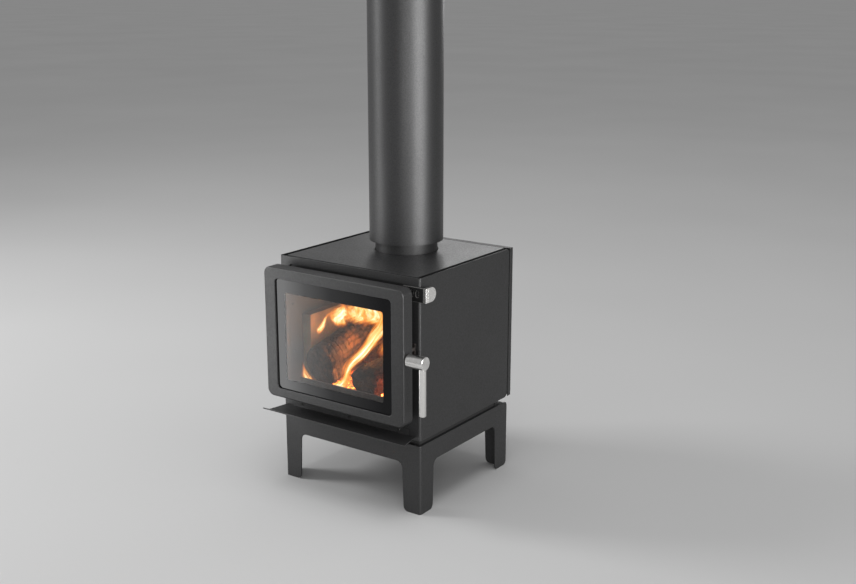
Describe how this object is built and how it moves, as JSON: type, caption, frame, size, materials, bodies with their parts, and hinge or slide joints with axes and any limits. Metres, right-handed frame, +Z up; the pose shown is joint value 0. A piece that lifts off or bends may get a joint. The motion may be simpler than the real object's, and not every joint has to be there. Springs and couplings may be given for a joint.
{
  "type": "wood burning stove",
  "caption": "Free-standing box stove on a folded steel base, with a framed glass door, turning latch handle, sliding air control, ash shelf and a shielded top flue.",
  "frame": {"origin": "middle of the whole object's footprint, on the floor", "axes": "+Z up, the door faces -Y, +X is the handle side"},
  "size_m": [0.469, 0.481, 1.3525],
  "materials": {
    "stove_paint": "matt black heat-resistant paint",
    "plinth_paint": "matt black",
    "flue_paint": "matt black heat-resistant paint",
    "flue_liner": "sooted steel",
    "bare_steel": "mill finish, heat darkened",
    "air_slide_paint": "satin black",
    "brushed_stainless": "brushed",
    "brass_washer": "plain",
    "black_screws": "black oxide",
    "ceramic_glass": "clear heat-resistant ceramic glass",
    "woven_seal": "woven glass fibre",
    "firebrick": "pressed vermiculite, sooted",
    "charred_log": "charred"
  },
  "bodies": {
    "stove": {"air_guide_screws": "black_screws", "airwash_plate": "bare_steel", "ash_shelf": "stove_paint", "ash_shelf_screws": "black_screws", "baffle_boards": "firebrick", "baffle_ledges": "bare_steel", "base_frame": "stove_paint", "base_rear_brace": "stove_paint", "casing_floor": "stove_paint", "casing_wrap": "stove_paint", "firebox_feet": "stove_paint", "firebox_front": "stove_paint", "firebox_shell": "stove_paint", "firebrick_floor": "firebrick", "firebrick_left": "firebrick", "firebrick_rear": "firebrick", "firebrick_right": "firebrick", "flue_collar": "stove_paint", "flue_pipe_inner": "flue_liner", "flue_pipe_outer": "flue_paint", "flue_spacer_lower": "flue_liner", "flue_spacer_upper": "flue_liner", "hinge_lugs": "stove_paint", "hinge_pins": "bare_steel", "hinge_washers": "brass_washer", "latch_keeper": "bare_steel", "latch_keeper_screws": "black_screws", "log_left": "charred_log", "log_rear": "charred_log", "log_retainer": "bare_steel", "log_right": "charred_log", "neck_screws": "black_screws", "plinth": "plinth_paint", "rear_cover": "stove_paint", "rear_cover_screws": "black_screws", "rear_spacers": "bare_steel", "secondary_air_tube": "bare_steel", "top_plate": "stove_paint", "top_rails": "stove_paint"},
    "door": {"door_frame": "stove_paint", "door_glass": "ceramic_glass", "glass_gaskets": "woven_seal", "seal_plate": "bare_steel", "door_rope_seal": "woven_seal", "seal_plate_screws": "black_screws", "hinge_knuckles": "stove_paint", "handle_bush": "bare_steel"},
    "handle": {"handle_shaft": "bare_steel", "handle_barrel": "brushed_stainless", "handle_rod": "brushed_stainless", "latch_cam": "bare_steel", "latch_cam_pin": "bare_steel"},
    "air_control": {"air_slide": "air_slide_paint", "air_knob": "brushed_stainless", "air_knob_rivets": "brushed_stainless"}
  },
  "joints": [
    {"name": "door_swing", "type": "hinge", "parent": "stove", "child": "door", "pos_m": [-0.2265, -0.177, 0.4], "axis": [0, 0, -1], "range_deg": [0, 110]},
    {"name": "handle_turn", "type": "hinge", "parent": "door", "child": "handle", "pos_m": [0.2065, -0.207, 0.397], "axis": [-1, 0, 0], "range_deg": [0, 80]},
    {"name": "air_slide", "type": "slide", "parent": "stove", "child": "air_control", "axis": [1, 0, 0], "range_m": [-0.0075, 0]}
  ]
}
